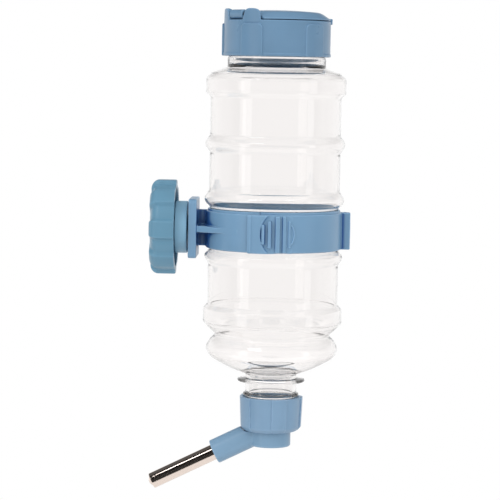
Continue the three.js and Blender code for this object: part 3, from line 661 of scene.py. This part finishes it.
def elbow_field(points):
    x, y, r, z = bottle_frame(points)
    # s runs down the tube's axis, and d is the distance from it
    s = -x * math.cos(SLOPE) - (z - TUBE_Z) * math.sin(SLOPE)
    rise = -x * math.sin(SLOPE) + (z - TUBE_Z) * math.cos(SLOPE)
    d = np.hypot(rise, y)
    boss = meet(1.1, r - 10.4, slab(z, -109.9, -96))
    arm = meet(0.45, d - 6.2, slab(s, 3, 31.3))
    arm = trim(0.3, arm, 8.4 - s)
    nut_room = meet(0.3, slab(r, 10.4, 15.75), slab(z, NUT_LOW_Z - 0.3, -80))
    nut_room = np.maximum(nut_room, nut_chamfer(r, z) - 0.45)
    outside = cut(0.2, join(0.9, boss, arm), nut_room)
    outside = np.maximum(outside, z + 97.5)
    flange = meet(0.3, r - 12.8, slab(z, -99.1, -97.5))
    chamber = meet(0.4, r - 7.4, slab(z, -107.4, -80))
    passage = np.maximum(d - 2.1, slab(s, 3, 16.3))
    socket = meet(0.2, d - 4.3, slab(s, 15, 34))
    groove = meet(0.2, d - 5.4, slab(s, 23.9, 26.1))
    return cut(0.2, join(0.3, outside, flange), chamber, passage, socket, groove)


# ------------------------------------------------------------------ materials
def shader(name, colour, roughness, **sockets):
    material = bpy.data.materials.new(name)
    material.use_nodes = True
    principled = material.node_tree.nodes["Principled BSDF"]
    principled.inputs["Base Color"].default_value = (*colour, 1)
    principled.inputs["Roughness"].default_value = roughness
    for socket, value in sockets.items():
        principled.inputs[socket.replace("_", " ")].default_value = value
    return material, principled


def linear(red, green, blue):
    """An sRGB colour from 0 to 255 as linear light."""
    return [((c / 255 + 0.055) / 1.055) ** 2.4 if c > 10 else c / 255 / 12.92 for c in (red, green, blue)]


def noise(tree, scale, detail=3.0, stretch=(1, 1, 1)):
    """Noise in metres of object space."""
    where = tree.nodes.new("ShaderNodeTexCoord")
    mapping = tree.nodes.new("ShaderNodeMapping")
    mapping.inputs["Scale"].default_value = stretch
    pattern = tree.nodes.new("ShaderNodeTexNoise")
    pattern.inputs["Scale"].default_value = scale
    pattern.inputs["Detail"].default_value = detail
    tree.links.new(where.outputs["Object"], mapping.inputs["Vector"])
    tree.links.new(mapping.outputs["Vector"], pattern.inputs["Vector"])
    return pattern.outputs["Fac"]


def ramp(tree, value, low, high, start=0.0, end=1.0):
    """A value from start to end spread over low to high."""
    spread = tree.nodes.new("ShaderNodeMapRange")
    spread.inputs["From Min"].default_value = start
    spread.inputs["From Max"].default_value = end
    spread.inputs["To Min"].default_value = low
    spread.inputs["To Max"].default_value = high
    tree.links.new(value, spread.inputs["Value"])
    return spread.outputs["Result"]


def mixed(tree, share, first, second):
    mix = tree.nodes.new("ShaderNodeMix")
    mix.data_type = "RGBA"
    mix.inputs[6].default_value = (*first, 1)
    mix.inputs[7].default_value = (*second, 1)
    tree.links.new(share, mix.inputs[0])
    return mix.outputs[2]


def bumped(tree, principled, height, strength, distance):
    bump = tree.nodes.new("ShaderNodeBump")
    bump.inputs["Strength"].default_value = strength
    bump.inputs["Distance"].default_value = distance
    tree.links.new(height, bump.inputs["Height"])
    tree.links.new(bump.outputs["Normal"], principled.inputs["Normal"])


def moulded_plastic(name, colour, roughness=0.3):
    """Satin moulded plastic: cloudy pigment, a fine spark-eroded texture, convex edges lightened partly as rubbed wear
    and partly as a painted highlight, and painted shade in deep corners and recesses.
    """
    material, principled = shader(name, colour, roughness, Specular_IOR_Level=0.5)
    tree = material.node_tree
    cloud = mixed(
        tree, ramp(tree, noise(tree, 45, 2), -0.6, 1.6), [c * 0.94 for c in colour], [min(1, c * 1.06) for c in colour]
    )
    bend = tree.nodes.new("ShaderNodeAttribute")
    bend.attribute_name = "bend"
    # painted highlight and wear: rounded convex edges are lightened in patches, partly as rubbed wear and partly
    # standing for the bright highlight along them
    rubbed_and_lit_edges = tree.nodes.new("ShaderNodeMath")
    rubbed_and_lit_edges.operation = "MULTIPLY"
    rubbed_and_lit_edges.use_clamp = True
    tree.links.new(ramp(tree, bend.outputs["Fac"], -0.05, 0.5), rubbed_and_lit_edges.inputs[0])
    tree.links.new(ramp(tree, noise(tree, 260, 4), 0.2, 1.3), rubbed_and_lit_edges.inputs[1])
    wear_and_highlight = tree.nodes.new("ShaderNodeMix")
    wear_and_highlight.data_type = "RGBA"
    wear_and_highlight.inputs[7].default_value = (*[min(1, c * 1.35 + 0.05) for c in colour], 1)
    tree.links.new(rubbed_and_lit_edges.outputs[0], wear_and_highlight.inputs[0])
    tree.links.new(cloud, wear_and_highlight.inputs[6])
    # painted shade: where the piece closes in on itself the colour turns a darker, deeper blue, standing for the
    # shadow in recesses and the blue light bounced between their walls
    corners = tree.nodes.new("ShaderNodeMix")
    corners.data_type = "RGBA"
    corners.inputs[7].default_value = (*[3.2 * c**2.9 for c in colour], 1)
    hidden = tree.nodes.new("ShaderNodeAttribute")
    hidden.attribute_name = "hidden"
    tree.links.new(ramp(tree, hidden.outputs["Fac"], 0.0, 0.94, 0.4, 0.6), corners.inputs[0])
    tree.links.new(wear_and_highlight.outputs[2], corners.inputs[6])
    tree.links.new(corners.outputs[2], principled.inputs["Base Color"])
    tree.links.new(ramp(tree, noise(tree, 140, 3), roughness - 0.07, roughness + 0.09), principled.inputs["Roughness"])
    bumped(tree, principled, noise(tree, 2600, 2), 0.08, 0.00006)
    return material


def clear_plastic():
    """Blown PET: clear, faintly warm, with the slow waviness of a blown wall."""
    material, principled = shader("clear_pet", (0.99, 0.976, 0.97), 0.03, Transmission_Weight=1.0, IOR=1.5)
    tree = material.node_tree
    tree.links.new(ramp(tree, noise(tree, 60, 2), 0.0, 0.04), principled.inputs["Roughness"])
    bumped(tree, principled, noise(tree, 55, 2, (1, 1, 0.25)), 0.08, 0.0005)
    # lamps shine through the wall on what is behind it
    seen = tree.nodes.new("ShaderNodeLightPath")
    lit_through = tree.nodes.new("ShaderNodeBsdfTransparent")
    lit_through.inputs["Color"].default_value = (0.92, 0.91, 0.905, 1)
    surface = tree.nodes.new("ShaderNodeMixShader")
    tree.links.new(seen.outputs["Is Shadow Ray"], surface.inputs[0])
    tree.links.new(principled.outputs[0], surface.inputs[1])
    tree.links.new(lit_through.outputs[0], surface.inputs[2])
    tree.links.new(surface.outputs[0], tree.nodes["Material Output"].inputs["Surface"])
    return material


def polished_steel():
    material, principled = shader("polished_steel", linear(247, 232, 222), 0.08, Metallic=1.0)
    tree = material.node_tree
    tree.links.new(ramp(tree, noise(tree, 400, 3), 0.05, 0.13), principled.inputs["Roughness"])
    bumped(tree, principled, noise(tree, 900, 2), 0.05, 0.00002)
    return material


def zinc_plate():
    material, principled = shader("zinc_plate", linear(190, 194, 198), 0.32, Metallic=1.0)
    tree = material.node_tree
    tint = mixed(tree, noise(tree, 220, 3), linear(176, 182, 190), linear(206, 204, 196))
    tree.links.new(tint, principled.inputs["Base Color"])
    tree.links.new(ramp(tree, noise(tree, 600, 3), 0.24, 0.42), principled.inputs["Roughness"])
    bumped(tree, principled, noise(tree, 1500, 3), 0.15, 0.00003)
    return material


def white_silicone():
    material, principled = shader("white_silicone", linear(232, 231, 226), 0.5, Subsurface_Weight=0.3)
    principled.inputs["Subsurface Radius"].default_value = (0.002, 0.002, 0.002)
    tree = material.node_tree
    tree.links.new(ramp(tree, noise(tree, 500, 3), 0.42, 0.6), principled.inputs["Roughness"])
    bumped(tree, principled, noise(tree, 1800, 2), 0.15, 0.00004)
    return material


CAP_BLUE = moulded_plastic("cap_blue", linear(100, 135, 165))
HOLDER_BLUE = moulded_plastic("holder_blue", linear(109, 146, 177))
KNOB_BLUE = moulded_plastic("knob_blue", linear(94, 138, 163))
# the washer's blue is lighter than the knob's, partly its own tint and partly painted light that stands for the light
# falling on its front
WASHER_BLUE_AND_LIGHT = moulded_plastic("washer_blue_and_light", linear(138, 185, 213))
NOZZLE_BLUE = moulded_plastic("nozzle_blue", linear(118, 151, 178))
NUT_BLUE = moulded_plastic("nut_blue", linear(119, 150, 178))
CLEAR = clear_plastic()
STEEL = polished_steel()
ZINC = zinc_plate()
SILICONE = white_silicone()


# ------------------------------------------------------------------ putting the pieces on their bodies
def finish_piece(piece, body, nodes, material):
    piece.data.materials.append(material)
    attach(piece, body)
    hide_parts(*nodes)
    return piece


def moulded_piece(name, field, step, body, node, material):
    low, high = node_box(node)
    return finish_piece(moulded(name, field, low, high, step), body, [node], material)


moulded_piece("ring_holder", holder_field, 0.4, "holder", "bottle_holder", HOLDER_BLUE)
moulded_piece("ring_gate_skin", gate_field, 0.32, "gate", "ring_gate", HOLDER_BLUE)
moulded_piece("screw_cap", cap_field, 0.4, "cap", "fill_cap", CAP_BLUE)
moulded_piece("lid", lid_field, 0.4, "lid", "flip_lid", CAP_BLUE)
moulded_piece("hand_knob", knob_field, 0.42, "knob", "clamp_knob", KNOB_BLUE)
moulded_piece("neck_nut", nut_field, 0.34, "outlet_nut", "outlet_nut", NUT_BLUE)
moulded_piece("nozzle", elbow_field, 0.34, "nozzle", "nozzle_elbow", NOZZLE_BLUE)
finish_piece(bottle_mesh(), "bottle", ["bottle_body"], CLEAR)


def turned_piece(name, corners, steps, place, body, node, material, shift=None, longest=None):
    outline = filleted(corners)
    if longest:
        outline = densified(np.vstack([outline, outline[:1]]), longest)[:-1]
    piece = lathe(name, outline, steps, place, shift)
    return finish_piece(piece, body, [node], material)


turned_piece(
    "jaw_washer",
    [(4.3, -7, 0.2), (13.1, -7, 0.5), (13.1, -0.85, 0.8), (11.6, -0.85, 0.3), (11.2, -1.15, 0.3),
     (6.4, -1.15, 0.3), (6, -0.85, 0.3), (4.3, -0.85, 0.2)],
    128, along_x(), "jaw", "clamp_washer", WASHER_BLUE_AND_LIGHT,
)


def stud_thread(r, angle, z):
    """A fine thread on the part of the stud that the knob winds on."""
    return r - 0.45 * (1 - thread(r, angle, z, 1.5, 1, -15.4, -0.4)) * (r > 3.2) * (z < -0.3)


turned_piece(
    "stud",
    [(0, -15.8, 0), (3.3, -15.8, 0), (4, -15.1, 0.1), (4, 1.5, 0), (6.2, 1.5, 0.3), (6.2, 2.9, 0.3), (0, 2.9, 0)],
    64, along_x(), "holder", "clamp_stud", ZINC, stud_thread, 0.25,
)


def hex_nut_field(points):
    x, y, z = points.T
    rho = np.hypot(y, z)
    hexagon = np.maximum.reduce([np.abs(y * math.cos(a) + z * math.sin(a)) for a in HEX_FLATS])
    body = meet(0.15, hexagon - 6.5, slab(x, -13, -8))
    crown = np.maximum(rho - 7.2 - (x + 13) * 1.6, rho - 7.2 + (x + 8) * 1.6) * 0.5
    return cut(0.15, trim(0.2, body, crown), rho - 4.3)


moulded_piece("hex_nut", hex_nut_field, 0.25, "knob", "knob_nut", ZINC)
turned_piece(
    "cap_gasket", [(20.5, 99.7, 0.4), (24.9, 99.7, 0.4), (24.9, 101.3, 0.4), (20.5, 101.3, 0.4)],
    128, upright(), "cap_seat", "fill_cap_gasket", SILICONE,
)
turned_piece(
    "lid_plug_seal", [(13.3, 102, 0.4), (14.7, 102, 0.55), (14.7, 103.2, 0.55), (13.3, 103.2, 0.4)],
    128, upright(), "lid", "lid_seal", SILICONE,
)
turned_piece(
    "neck_gasket", [(8.2, -97.2, 0.4), (13, -97.2, 0.4), (13, -95.8, 0.4), (8.2, -95.8, 0.4)],
    96, upright(), "outlet_seat", "outlet_gasket", SILICONE,
)
turned_piece(
    "tube_o_ring", [(4.3, 24.2, 0.35), (5.1, 24.2, 0.39), (5.1, 25.8, 0.39), (4.3, 25.8, 0.35)],
    64, along_tube(), "nozzle", "tube_seal", SILICONE,
)
turned_piece(
    "lid_pin", [(0, -8.5, 0), (0.8, -8.5, 0.3), (0.8, 8.5, 0.3), (0, 8.5, 0)],
    32, lid_axis(), "cap", "lid_hinge_pin", ZINC,
)
turned_piece(
    "gate_pin", [(0, -9.4, 0), (0.8, -9.4, 0.3), (0.8, 8.5, 0.3), (0, 8.5, 0)],
    32, gate_axis(), "holder", "gate_hinge_pin", ZINC,
)
# the tube's end is rolled in round the ball, with a faint ring where the rolling tool stopped
turned_piece(
    "steel_spout",
    [(3.5, 15.3, 0), (4, 15.3, 0.2), (4, 63.6, 0.3), (3.97, 63.8, 0.1), (3.97, 63.9, 0.1), (4, 64.1, 0.3),
     (4, 66.5, 0.55), (3.05, 66.5, 0.2), (3.05, 66.1, 0.1), (3.5, 65.2, 0.2)],
    96, along_tube(), "nozzle", "spout_tube", STEEL,
)


def ball_piece(name, place, node):
    """A ground steel ball."""
    rings = 24
    turns = np.linspace(-math.pi / 2, math.pi / 2, rings + 1)
    radius = 3.3
    outline = np.stack([radius * np.cos(turns), place + radius * np.sin(turns)], 1)
    outline[[0, -1], 0] = 0
    piece = lathe(name, outline, 48, along_tube())
    return finish_piece(piece, node, [node], STEEL)


ball_piece("valve_ball", 64.5, "tip_ball")
ball_piece("second_ball", 57.6, "upper_ball")


# ------------------------------------------------------------------ floor, light and camera
FLOOR_Z = -0.30
FLOOR_SIZE = 1.26
FLOOR_FRONT = 0.415  # its front edge, in front of the bottle
FLOOR_FADE = 0.15  # how far in from its edges it fades away


def pale_matt(name, colour):
    """A matt surface that fades away at the edges of a square."""
    material, principled = shader(name, colour, 0.9, Specular_IOR_Level=0.1)
    tree = material.node_tree
    soft = mixed(tree, noise(tree, 3, 2), [c * 0.98 for c in colour], colour)
    tree.links.new(soft, principled.inputs["Base Color"])
    where = tree.nodes.new("ShaderNodeTexCoord")
    sides = tree.nodes.new("ShaderNodeSeparateXYZ")
    tree.links.new(where.outputs["Object"], sides.inputs[0])
    kept = tree.nodes.new("ShaderNodeMath")
    kept.operation = "MULTIPLY"
    for axis in range(2):
        far = tree.nodes.new("ShaderNodeMath")
        far.operation = "ABSOLUTE"
        tree.links.new(sides.outputs[axis], far.inputs[0])
        fade = tree.nodes.new("ShaderNodeMapRange")
        fade.interpolation_type = "SMOOTHSTEP"
        edge = FLOOR_SIZE / 2
        for socket, value in (("From Min", edge - FLOOR_FADE), ("From Max", edge), ("To Min", 1), ("To Max", 0)):
            fade.inputs[socket].default_value = value
        tree.links.new(far.outputs[0], fade.inputs["Value"])
        tree.links.new(fade.outputs["Result"], kept.inputs[axis])
    surface = tree.nodes.new("ShaderNodeMixShader")
    tree.links.new(kept.outputs[0], surface.inputs[0])
    tree.links.new(tree.nodes.new("ShaderNodeBsdfTransparent").outputs[0], surface.inputs[1])
    tree.links.new(principled.outputs[0], surface.inputs[2])
    tree.links.new(surface.outputs[0], tree.nodes["Material Output"].inputs["Surface"])
    return material


bpy.ops.mesh.primitive_plane_add(size=FLOOR_SIZE, location=(AXIS_X * MM, FLOOR_SIZE / 2 - FLOOR_FRONT, FLOOR_Z))
floor = bpy.context.object
floor.name = "pale_floor"
floor.data.materials.append(pale_matt("pale_floor", (0.74, 0.735, 0.73)))


def area_light(name, azimuth, elevation, distance, width, tall, power):
    """A soft box that faces the ring."""
    turn, tilt = math.radians(azimuth), math.radians(elevation)
    light = bpy.data.lights.new(name, "AREA")
    light.shape = "RECTANGLE"
    light.size, light.size_y = width, tall
    light.energy = power
    lamp = bpy.data.objects.new(name, light)
    away = Vector((math.sin(turn) * math.cos(tilt), -math.cos(turn) * math.cos(tilt), math.sin(tilt)))
    lamp.location = Vector((AXIS_X * MM, 0, 0)) + away * distance
    lamp.rotation_euler = (-away).to_track_quat("-Z", "Y").to_euler()
    bpy.context.scene.collection.objects.link(lamp)


area_light("left_box", -50, 4, 1.3, 0.4, 1.2, 1.25)
area_light("right_box", 65, 4, 1.3, 0.30, 1.2, 0.9)
area_light("key_box", -35, 41, 1.3, 0.5, 0.13, 0.9)


def world_level(tree, direction, start, end, low, high, both_ways=False):
    """A soft step of brightness from low to high along a direction, or along it both ways."""
    along = tree.nodes.new("ShaderNodeVectorMath")
    along.operation = "DOT_PRODUCT"
    along.inputs[1].default_value = direction
    tree.links.new(tree.nodes["Texture Coordinate"].outputs["Generated"], along.inputs[0])
    reach = along.outputs["Value"]
    if both_ways:
        fold = tree.nodes.new("ShaderNodeMath")
        fold.operation = "ABSOLUTE"
        tree.links.new(reach, fold.inputs[0])
        reach = fold.outputs[0]
    step = tree.nodes.new("ShaderNodeMapRange")
    step.interpolation_type = "SMOOTHSTEP"
    for socket, value in (("From Min", start), ("From Max", end), ("To Min", low), ("To Max", high)):
        step.inputs[socket].default_value = value
    tree.links.new(reach, step.inputs["Value"])
    return step.outputs["Result"]


def chosen(tree, share, first, second):
    """The first level, or the second where share is 1."""
    mix = tree.nodes.new("ShaderNodeMix")
    mix.data_type = "FLOAT"
    tree.links.new(share, mix.inputs[0])
    for socket, level in ((mix.inputs[2], first), (mix.inputs[3], second)):
        if isinstance(level, float):
            socket.default_value = level
        else:
            tree.links.new(level, socket)
    return mix.outputs[0]


def studio_world():
    """A pale room. What shines sees it dark in front, as behind a camera, and what is clear sees it pale."""
    world = bpy.data.worlds.new("studio")
    world.use_nodes = True
    tree = world.node_tree
    tree.nodes.new("ShaderNodeTexCoord")
    seen = tree.nodes.new("ShaderNodeLightPath")
    ahead = world_level(tree, (0.0, -0.88, 0.47), -0.1, 0.8, 0.16, 1.42)
    rear = world_level(tree, (0, 0.97, 0.24), 0.1, 0.9, 0.0, 1.15)
    diffuse = tree.nodes.new("ShaderNodeMath")
    tree.links.new(ahead, diffuse.inputs[0])
    tree.links.new(rear, diffuse.inputs[1])
    behind = world_level(tree, (0, 1, 0), -0.35, 0.1, 0.025, 1.0)
    below = world_level(tree, (0, 0, -1), -0.4, -0.15, 0.1, 1.0)
    shiny = tree.nodes.new("ShaderNodeMath")
    shiny.operation = "MULTIPLY"
    tree.links.new(behind, shiny.inputs[0])
    tree.links.new(below, shiny.inputs[1])
    across = world_level(tree, (0, 1, 0), 0.25, 0.8, 0.62, 0.97, both_ways=True)
    above = world_level(tree, (0, 0, 1), 0.35, 0.75, 0.0, 0.6)
    through = tree.nodes.new("ShaderNodeMath")
    tree.links.new(across, through.inputs[0])
    tree.links.new(above, through.inputs[1])
    level = chosen(tree, seen.outputs["Is Glossy Ray"], diffuse.outputs[0], shiny.outputs[0])
    level = chosen(tree, seen.outputs["Is Transmission Ray"], level, through.outputs[0])
    level = chosen(tree, seen.outputs["Is Camera Ray"], level, 1.0)
    background = tree.nodes["Background"]
    background.inputs["Color"].default_value = (1, 1, 1, 1)
    tree.links.new(level, background.inputs["Strength"])
    return world


bpy.context.scene.world = studio_world()
bpy.context.scene.view_settings.view_transform = "Standard"

DISTANCE = 1.173
AZIMUTH = math.radians(1.15)
CAMERA_Z = 0.0807
PITCH = math.radians(4.47)
YAW = math.radians(0.573)
ROLL = math.radians(1.03)

camera = bpy.data.objects.new("camera", bpy.data.cameras.new("camera"))
bpy.context.scene.collection.objects.link(camera)
bpy.context.scene.camera = camera
camera.data.lens = 168.5
camera.data.sensor_width = 36
camera.location = (AXIS_X * MM + DISTANCE * math.sin(AZIMUTH), -DISTANCE * math.cos(AZIMUTH), CAMERA_Z)
aim = math.pi / 2 + AZIMUTH + YAW
forward = Vector((math.cos(aim) * math.cos(PITCH), math.sin(aim) * math.cos(PITCH), -math.sin(PITCH)))
level_right = forward.cross(Vector((0, 0, 1))).normalized()
level_up = level_right.cross(forward)
right = level_right * math.cos(ROLL) + level_up * math.sin(ROLL)
up = level_up * math.cos(ROLL) - level_right * math.sin(ROLL)
camera.rotation_euler = Matrix((right, up, -forward)).transposed().to_euler()
